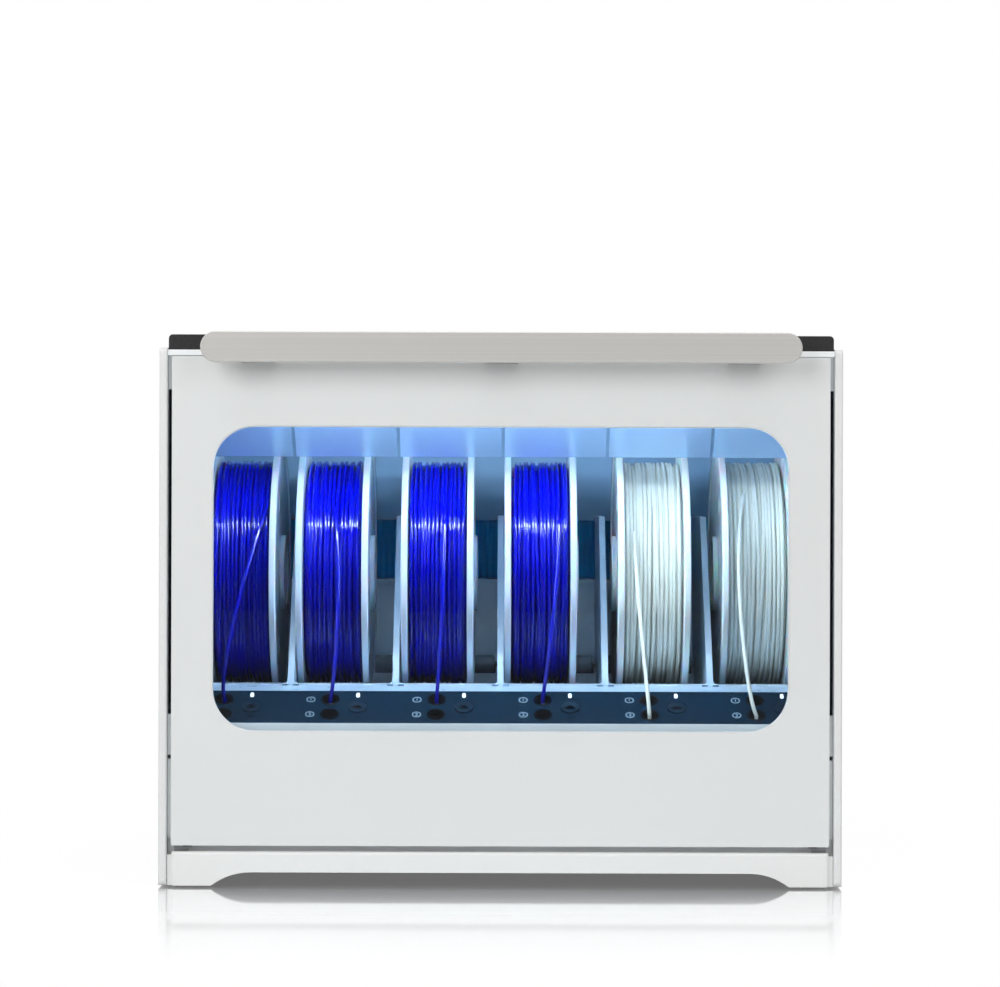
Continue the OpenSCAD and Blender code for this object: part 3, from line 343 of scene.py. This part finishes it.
def add_tube(bm, path, radius, sides, closed):
    """A round tube along points, open or closed on itself."""
    count = len(path)
    rings = []
    for k, point in enumerate(path):
        ahead = path[(k + 1) % count] if closed else path[min(k + 1, count - 1)]
        behind = path[k - 1] if closed else path[max(k - 1, 0)]
        tangent = (ahead - behind).normalized()
        u = tangent.cross(Vector((1, 0, 0))).normalized()
        v = tangent.cross(u)
        rings.append([bm.verts.new(point + radius * (math.cos(a) * u + math.sin(a) * v))
                      for a in (2 * math.pi * s / sides for s in range(sides))])
    for k in range(count if closed else count - 1):
        ring, following = rings[k], rings[(k + 1) % count]
        for s in range(sides):
            n = (s + 1) % sides
            bm.faces.new((ring[s], following[s], following[n], ring[n]))
    if not closed:
        bm.faces.new(rings[0])
        bm.faces.new(reversed(rings[-1]))


def add_turn(bm, centre, x, radius, drift, rng, segments=132):
    """One turn of filament round the axis, wandering sideways by up to drift."""
    phase = [rng.uniform(0, 2 * math.pi) for _ in range(4)]
    share = rng.uniform(0.3, 0.7)
    path = []
    for k in range(segments):
        a = 2 * math.pi * k / segments
        aside = drift * (share * math.sin(a + phase[0]) + (1 - share) * math.sin(2 * a + phase[1]))
        lift = 0.25 * MM * math.sin(3 * a + phase[2]) + 0.12 * MM * math.sin(7 * a + phase[3])
        limit = WINDING_HALF - FILAMENT_R
        place = max(-limit, min(limit, x + aside))
        path.append(centre + Vector((place, (radius + lift) * math.cos(a),
                                     (radius + lift) * math.sin(a))))
    add_tube(bm, path, FILAMENT_R, 8, True)


def add_core(bm, centre, radius, half):
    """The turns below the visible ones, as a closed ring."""
    segments = 96
    loops = []
    for r, x in ((CORE_R, -half), (radius, -half), (radius, half), (CORE_R, half)):
        loops.append([bm.verts.new(centre + Vector((x, r * math.cos(a), r * math.sin(a))))
                      for a in (2 * math.pi * k / segments for k in range(segments))])
    for k in range(4):
        a, b = loops[k], loops[(k + 1) % 4]
        for s in range(segments):
            n = (s + 1) % segments
            bm.faces.new((a[s], b[s], b[n], a[n]))


def winding(i):
    """Filament wound on spool i: a tight layer, then a loose one with gaps and crossings."""
    letter = LETTERS[i]
    rng = random.Random(40 + i)
    centre = joint_at[f"spool_spin_{letter}"]
    low_r = WINDING_R - 3.6 * FILAMENT_R
    top_r = WINDING_R - 1.35 * FILAMENT_R
    bm = bmesh.new()
    add_core(bm, centre, low_r, WINDING_HALF - 0.3 * MM)
    tight = 15
    for k in range(tight):
        x = (k + 0.5 - tight / 2) * 2 * (WINDING_HALF - FILAMENT_R) / tight
        add_turn(bm, centre, x, low_r + 0.5 * FILAMENT_R, 0.3 * MM, rng)
    loose = 13
    for k in range(loose):
        x = (k + 0.5 - loose / 2) * 2 * (WINDING_HALF - FILAMENT_R) / loose
        add_turn(bm, centre, x + rng.uniform(-0.5, 0.5) * MM, top_r - rng.uniform(0, 0.5) * MM,
                 rng.choice((0.5, 0.8, 1.2, 2.4)) * MM, rng)
    piece = finish_mesh(f"winding_{letter}", bm, natural if i > 3 else blue, f"reel_{letter}")
    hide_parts(f"filament_{letter}")


for bay in range(6):
    winding(bay)

# Each strand's way from its winding to its inlet, in millimetres and degrees as in part.scad
STRAND_CLEAR = 0.5 * MM
STRAND_OFF = (20, 1.2, 5.6, 14, -15.2, -10)
STRAND_ANGLE = (36, 35, 28, 28, 22, 44)
STRAND_SWAY = ((-16, -4), (8, 3), (0, 1), (0, 1), (2, -1), (-12, -8))
STRAND_ROW = (0, 0, 0, 0, 1, 1)
STRAND_RISE = (24, 12, 12, 12, 12, 16)

strip_top = Vector((0, STRIP_FOOT[0] + STRIP_LEN * math.cos(STRIP_ANGLE),
                    STRIP_FOOT[1] + STRIP_LEN * math.sin(STRIP_ANGLE)))


def bay_x(i):
    return (i - 2.5) * BAY_PITCH


def on_strip(x, down, out=0.0):
    """A point on the control strip, by its distance down from the top edge."""
    slope = Vector((0, math.cos(STRIP_ANGLE), math.sin(STRIP_ANGLE)))
    normal = Vector((0, -math.sin(STRIP_ANGLE), math.cos(STRIP_ANGLE)))
    return Vector((x, strip_top.y, strip_top.z)) - down * slope + out * normal


def cubic(a, b, c, d, t):
    return ((1 - t) ** 3 * a + 3 * t * (1 - t) ** 2 * b + 3 * t * t * (1 - t) * c + t ** 3 * d)


def strand_path(i, steps=40):
    axis = joint_at[f"spool_spin_{LETTERS[i]}"]
    r = WINDING_R + FILAMENT_R + STRAND_CLEAR
    turn = math.radians(STRAND_ANGLE[i])
    start = axis + Vector((STRAND_OFF[i] * MM, -r * math.cos(turn), r * math.sin(turn)))
    row = INLET_ROWS[STRAND_ROW[i]]
    mouth = on_strip(bay_x(i) + INLET_X, row)
    out = on_strip(0, 0, 1) - on_strip(0, 0)
    leave = 0.4 * (start - mouth).length * Vector((0, -math.sin(turn), -math.cos(turn)))
    leave.x += STRAND_SWAY[i][0] * MM
    enter = STRAND_RISE[i] * MM * out + Vector((STRAND_SWAY[i][1] * MM, 0, 0))
    path = [cubic(start, start + leave, mouth + enter, mouth, k / steps) for k in range(steps + 1)]
    depth = INLET_DEPTH - 2 * MM
    return path + [mouth - out * depth * k / 3 for k in (1, 2, 3)]


def strands(name, bays, finish):
    bm = bmesh.new()
    for i in bays:
        add_tube(bm, strand_path(i), FILAMENT_R, 14, False)
    piece = finish_mesh(name, bm, finish, "station")
    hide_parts("filament_strands")


strands("strands_blue", range(4), blue)
strands("strands_natural", (4, 5), natural)


# ---- Printed marks on the strip ----

def strip_matrix(x, down, lift=0.0):
    """Places a flat mark, drawn in X and Y, on the strip."""
    return (Matrix.Translation(on_strip(x, down, lift))
            @ Matrix.Rotation(STRIP_ANGLE, 4, "X"))


def add_polygon(bm, matrix, points):
    """A thin plate from an outline of flat points."""
    low = [bm.verts.new(matrix @ Vector((x, y, 0))) for x, y in points]
    high = [bm.verts.new(matrix @ Vector((x, y, PRINT_T))) for x, y in points]
    bm.faces.new(high)
    bm.faces.new(reversed(low))
    count = len(points)
    for k in range(count):
        n = (k + 1) % count
        bm.faces.new((low[k], low[n], high[n], high[k]))


def add_annulus(bm, matrix, outer, inner, segments=48):
    def loop(r, z):
        return [bm.verts.new(matrix @ Vector((r * math.cos(a), r * math.sin(a), z)))
                for a in (2 * math.pi * k / segments for k in range(segments))]
    loops = [loop(outer, 0), loop(outer, PRINT_T), loop(inner, PRINT_T), loop(inner, 0)]
    for k in range(4):
        a, b = loops[k], loops[(k + 1) % 4]
        for s in range(segments):
            n = (s + 1) % segments
            bm.faces.new((a[s], a[n], b[n], b[s]))


def add_glyph(bm, text, matrix, size):
    """A character of the plain built-in font, centred."""
    curve = bpy.data.curves.new("glyph", "FONT")
    curve.body = text
    curve.size = size
    curve.align_x = "CENTER"
    curve.align_y = "CENTER"
    curve.extrude = PRINT_T / 2
    holder = bpy.data.objects.new("glyph", curve)
    bpy.context.scene.collection.objects.link(holder)
    bpy.context.view_layer.update()
    made = bpy.data.meshes.new_from_object(holder.evaluated_get(
        bpy.context.evaluated_depsgraph_get()))
    made.transform(matrix @ Matrix.Translation((0, 0, PRINT_T / 2)))
    bm.from_mesh(made)
    bpy.data.meshes.remove(made)
    bpy.data.objects.remove(holder)
    bpy.data.curves.remove(curve)


def strip_marks():
    pale = plain("pale_print", srgb(150, 176, 190), 0.5)
    dark = plain("dark_print", (0.0001, 0.0002, 0.0004, 1), 0.7, Specular_IOR_Level=0.0)
    light_bm, dark_bm = bmesh.new(), bmesh.new()
    for i in range(6):
        for down, digit in zip(RING_ROWS, "12"):
            place = strip_matrix(bay_x(i) + RING_X, down)
            add_annulus(light_bm, place, *RING_R)
            add_glyph(light_bm, digit, place, DIGIT_SIZE)
        add_glyph(dark_bm, LETTERS[i].upper(), strip_matrix(bay_x(i) + BUTTON_X, LETTER_ROW),
                  LETTER_SIZE)
    finish_mesh("strip_numbers", light_bm, pale, "station", False)
    finish_mesh("strip_letters", dark_bm, dark, "station", False)
    for i in range(6):
        bm = bmesh.new()
        place = strip_matrix(bay_x(i) + BUTTON_X, BUTTON_ROW, BUTTON_PROUD)
        add_polygon(bm, place, [(-3.4 * MM, -0.4 * MM), (3.4 * MM, -0.4 * MM), (0, 2.7 * MM)])
        add_polygon(bm, place, [(-3.4 * MM, -2.2 * MM), (3.4 * MM, -2.2 * MM),
                                (3.4 * MM, -1.2 * MM), (-3.4 * MM, -1.2 * MM)])
        finish_mesh(f"eject_mark_{LETTERS[i]}", bm, dark, f"button_{LETTERS[i]}", False)


strip_marks()


# ---- Chamber lamp ----

def add_bar(bm, profile, x_low, x_high):
    """A straight bar along x; its profile lies in y and z."""
    ends = [[bm.verts.new((x, y, z)) for y, z in profile] for x in (x_low, x_high)]
    bm.faces.new(ends[0])
    bm.faces.new(reversed(ends[1]))
    for k in range(len(profile)):
        n = (k + 1) % len(profile)
        bm.faces.new((ends[0][n], ends[0][k], ends[1][k], ends[1][n]))


def lamp():
    """A rail under the light bar holds the lit lens, which faces down and back."""
    low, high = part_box("led_bar")
    y, z, leg, sunk, edge, lens_t = low.y + 2 * MM, low.z, 8 * MM, 0.5 * MM, 0.8 * MM, 0.8 * MM
    rail = [(y, z + sunk), (y, z - leg), (y + leg, z), (y + leg, z + sunk)]
    out = lens_t * math.sqrt(0.5)
    plate = [(y + edge, z - leg + edge), (y + edge + out, z - leg + edge - out),
             (y + leg - edge + out, z - edge - out), (y + leg - edge, z - edge)]
    bm = bmesh.new()
    add_bar(bm, rail, low.x + 3 * MM, high.x - 3 * MM)
    finish_mesh("lamp_rail", bm, plain("lamp_rail", srgb(190, 193, 196), 0.4, Metallic=0.8),
                "station", False)
    bm = bmesh.new()
    add_bar(bm, plate, low.x + 4 * MM, high.x - 4 * MM)
    finish_mesh("lamp_lens", bm, glowing("lamp_lens", (0.78, 0.90, 1.0, 1), 200), "station",
                False)


lamp()


# ---- Window edge and intake filter ----

def rounded(half_w, low, high, radius, steps=14):
    """Outline of an upright rounded rectangle, as X and Z."""
    outline = []
    for cx, cz, start in ((half_w, high, 0), (-half_w, high, 1), (-half_w, low, 2),
                          (half_w, low, 3)):
        mx = cx - math.copysign(radius, cx)
        mz = cz - (radius if cz == high else -radius)
        for k in range(steps + 1):
            a = math.pi / 2 * (start + k / steps)
            outline.append((mx + radius * math.cos(a), mz + radius * math.sin(a)))
    return outline


def window_edge():
    """The frosted edge round the pane, a thin frame just inside the door's opening."""
    wide, (low, high), radius = WINDOW_HALF_W, WINDOW_Z, WINDOW_CORNER
    inset = WINDOW_RIM
    outer = rounded(wide, low, high, radius)
    inner = rounded(wide - inset, low + inset, high - inset, radius - inset)
    front, back = (FRONT_Y + depth for depth in WINDOW_RIM_Y)
    bm = bmesh.new()
    loops = [[bm.verts.new((x, y, z)) for x, z in outline]
             for outline, y in ((outer, front), (outer, back), (inner, back), (inner, front))]
    count = len(outer)
    for k in range(4):
        a, b = loops[k], loops[(k + 1) % 4]
        for n in range(count):
            m = (n + 1) % count
            bm.faces.new((a[n], a[m], b[m], b[n]))
    frosted = plain("frosted_edge", srgb(244, 248, 250), 0.5).through(0.4)
    finish_mesh("window_edge", bm, frosted, "door", False)


def settle_order(bm):
    """Puts points and faces in order of place, since solidify's own order varies by run."""
    for k, vert in enumerate(sorted(bm.verts, key=lambda v: v.co[:])):
        vert.index = k
    bm.verts.sort()
    for k, face in enumerate(sorted(bm.faces, key=lambda f: f.calc_center_median()[:])):
        face.index = k
    bm.faces.sort()


def intake_filter():
    """A fleece pad across the plenum's mouth, behind the liner."""
    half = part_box("drying_unit")[1].x - 6 * MM
    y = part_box("chamber_liner")[1].y + 1.2 * MM
    z_low, z_high = PAD_Z
    columns, rows, pleat = 180, 4, 0.8 * MM
    bm = bmesh.new()
    sheet = []
    for c in range(columns + 1):
        x = -half + 2 * half * c / columns
        depth = y + (pleat if c % 2 else 0)
        sheet.append([bm.verts.new((x, depth, z_low + (z_high - z_low) * r / rows))
                      for r in range(rows + 1)])
    for c in range(columns):
        for r in range(rows):
            bm.faces.new((sheet[c][r], sheet[c + 1][r], sheet[c + 1][r + 1], sheet[c][r + 1]))
    bmesh.ops.solidify(bm, geom=bm.faces[:], thickness=0.6 * MM)
    settle_order(bm)
    fleece = plain("filter_fleece", (0.012, 0.33, 0.62, 1), 0.9, 900, 0.0003,
                   Specular_IOR_Level=0.1)
    finish_mesh("intake_filter", bm, fleece, "station", False)


window_edge()
intake_filter()


# ---- Stage, light and camera ----

def floor():
    """White glossy floor: its shine fades away from the station."""
    bm = bmesh.new()
    half = 6.0
    corners = [(-half, -half), (half, -half), (half, half), (-half, half)]
    bm.faces.new([bm.verts.new((x, y, 0)) for x, y in corners])
    mesh = bpy.data.meshes.new("floor")
    bm.to_mesh(mesh)
    bm.free()
    plane = bpy.data.objects.new("floor", mesh)
    bpy.context.scene.collection.objects.link(plane)
    mat = bpy.data.materials.new("floor")
    mat.use_nodes = True
    tree = mat.node_tree
    tree.nodes.clear()

    def node(kind):
        return tree.nodes.new(kind)

    out = node("ShaderNodeOutputMaterial")
    rays = node("ShaderNodeLightPath")
    bounce = node("ShaderNodeBsdfDiffuse")
    bounce.inputs["Color"].default_value = (0.7, 0.7, 0.7, 1)
    shaded = node("ShaderNodeBsdfDiffuse")
    shaded.inputs["Color"].default_value = (0.38, 0.38, 0.38, 1)
    white = node("ShaderNodeEmission")
    white.inputs["Strength"].default_value = 0.7
    base = node("ShaderNodeAddShader")
    far = node("ShaderNodeEmission")
    shine = node("ShaderNodeBsdfGlossy")
    shine.inputs["Color"].default_value = (1, 1, 1, 1)
    shine.inputs["Roughness"].default_value = 0.06
    far_mix = node("ShaderNodeMixShader")
    mirror_mix = node("ShaderNodeMixShader")
    camera_mix = node("ShaderNodeMixShader")
    place = node("ShaderNodeTexCoord")
    split = node("ShaderNodeSeparateXYZ")
    reach = node("ShaderNodeVectorMath")
    reach.operation = "LENGTH"
    distant = node("ShaderNodeMapRange")
    distant.inputs["From Min"].default_value = 0.30
    distant.inputs["From Max"].default_value = 0.75
    fade = node("ShaderNodeMapRange")
    fade.inputs["From Min"].default_value = FRONT_Y - 0.45
    fade.inputs["From Max"].default_value = FRONT_Y
    fade.inputs["To Min"].default_value = 0.0
    fade.inputs["To Max"].default_value = 0.8
    links = tree.links
    links.new(place.outputs["Object"], split.inputs[0])
    links.new(place.outputs["Object"], reach.inputs[0])
    links.new(reach.outputs["Value"], distant.inputs["Value"])
    links.new(split.outputs["Y"], fade.inputs["Value"])
    links.new(white.outputs[0], base.inputs[0])
    links.new(shaded.outputs[0], base.inputs[1])
    links.new(distant.outputs["Result"], far_mix.inputs["Fac"])
    links.new(fade.outputs["Result"], mirror_mix.inputs["Fac"])
    links.new(base.outputs[0], mirror_mix.inputs[1])
    links.new(shine.outputs[0], mirror_mix.inputs[2])
    links.new(mirror_mix.outputs[0], far_mix.inputs[1])
    links.new(far.outputs[0], far_mix.inputs[2])
    links.new(rays.outputs["Is Camera Ray"], camera_mix.inputs["Fac"])
    links.new(bounce.outputs[0], camera_mix.inputs[1])
    links.new(far_mix.outputs[0], camera_mix.inputs[2])
    links.new(camera_mix.outputs[0], out.inputs["Surface"])
    mesh.materials.append(mat)


def world(level, front):
    """Even light from all round; seen as white, but for gloss dim on the camera's side."""
    sky = bpy.data.worlds.new("studio")
    bpy.context.scene.world = sky
    sky.use_nodes = True
    tree = sky.node_tree
    tree.nodes.clear()

    def node(kind, **settings):
        made = tree.nodes.new(kind)
        for key, value in settings.items():
            setattr(made, key, value)
        return made

    out = node("ShaderNodeOutputWorld")
    rays = node("ShaderNodeLightPath")
    place = node("ShaderNodeTexCoord")
    split = node("ShaderNodeSeparateXYZ")
    side = node("ShaderNodeMapRange")
    side.inputs["From Min"].default_value = -0.4
    side.inputs["From Max"].default_value = 0.15
    side.inputs["To Min"].default_value = front
    side.inputs["To Max"].default_value = 1.0
    soft = node("ShaderNodeMath", operation="MAXIMUM")
    level_mix = node("ShaderNodeMix", data_type="FLOAT")
    camera_mix = node("ShaderNodeMix", data_type="FLOAT")
    back = node("ShaderNodeBackground")
    links = tree.links
    links.new(place.outputs["Generated"], split.inputs[0])
    links.new(split.outputs["Y"], side.inputs["Value"])
    links.new(rays.outputs["Is Glossy Ray"], soft.inputs[0])
    links.new(rays.outputs["Is Transmission Ray"], soft.inputs[1])
    links.new(soft.outputs[0], level_mix.inputs["Factor"])
    level_mix.inputs["A"].default_value = level
    links.new(side.outputs["Result"], level_mix.inputs["B"])
    links.new(rays.outputs["Is Camera Ray"], camera_mix.inputs["Factor"])
    links.new(level_mix.outputs["Result"], camera_mix.inputs["A"])
    camera_mix.inputs["B"].default_value = 1.0
    links.new(camera_mix.outputs["Result"], back.inputs["Strength"])
    back.inputs["Color"].default_value = (1, 1, 1, 1)
    links.new(back.outputs[0], out.inputs["Surface"])


def softbox(name, place, target, size, watts):
    lamp = bpy.data.lights.new(name, "AREA")
    lamp.shape = "RECTANGLE"
    lamp.size, lamp.size_y = size
    lamp.energy = watts
    holder = bpy.data.objects.new(name, lamp)
    bpy.context.scene.collection.objects.link(holder)
    holder.location = place
    holder.rotation_euler = (Vector(target) - Vector(place)).to_track_quat("-Z", "Y").to_euler()


def camera():
    view = bpy.data.cameras.new("camera")
    view.sensor_width = 36
    view.lens = 36 * VIEW_FOCAL_PX / VIEW_WIDTH_PX
    holder = bpy.data.objects.new("camera", view)
    bpy.context.scene.collection.objects.link(holder)
    holder.location = (-0.0007, FRONT_Y - VIEW_DISTANCE, VIEW_HEIGHT)
    holder.rotation_euler = (math.pi / 2, VIEW_ROLL, 0)
    bpy.context.scene.camera = holder


floor()
world(0.36, 0.12)
softbox("key", (-1.4, -2.0, 1.3), (0, -0.1, 0.2), (1.4, 1.4), 26)
softbox("fill", (1.5, -1.9, 1.2), (0, -0.1, 0.2), (1.4, 1.4), 13)
softbox("top", (0, -0.4, 2.2), (0, 0, 0.2), (1.8, 1.8), 12)
softbox("rear", (0.8, 2.3, 1.3), (0, 0.2, 0.2), (1.6, 1.6), 16)
camera()
bpy.context.scene.view_settings.view_transform = "Standard"
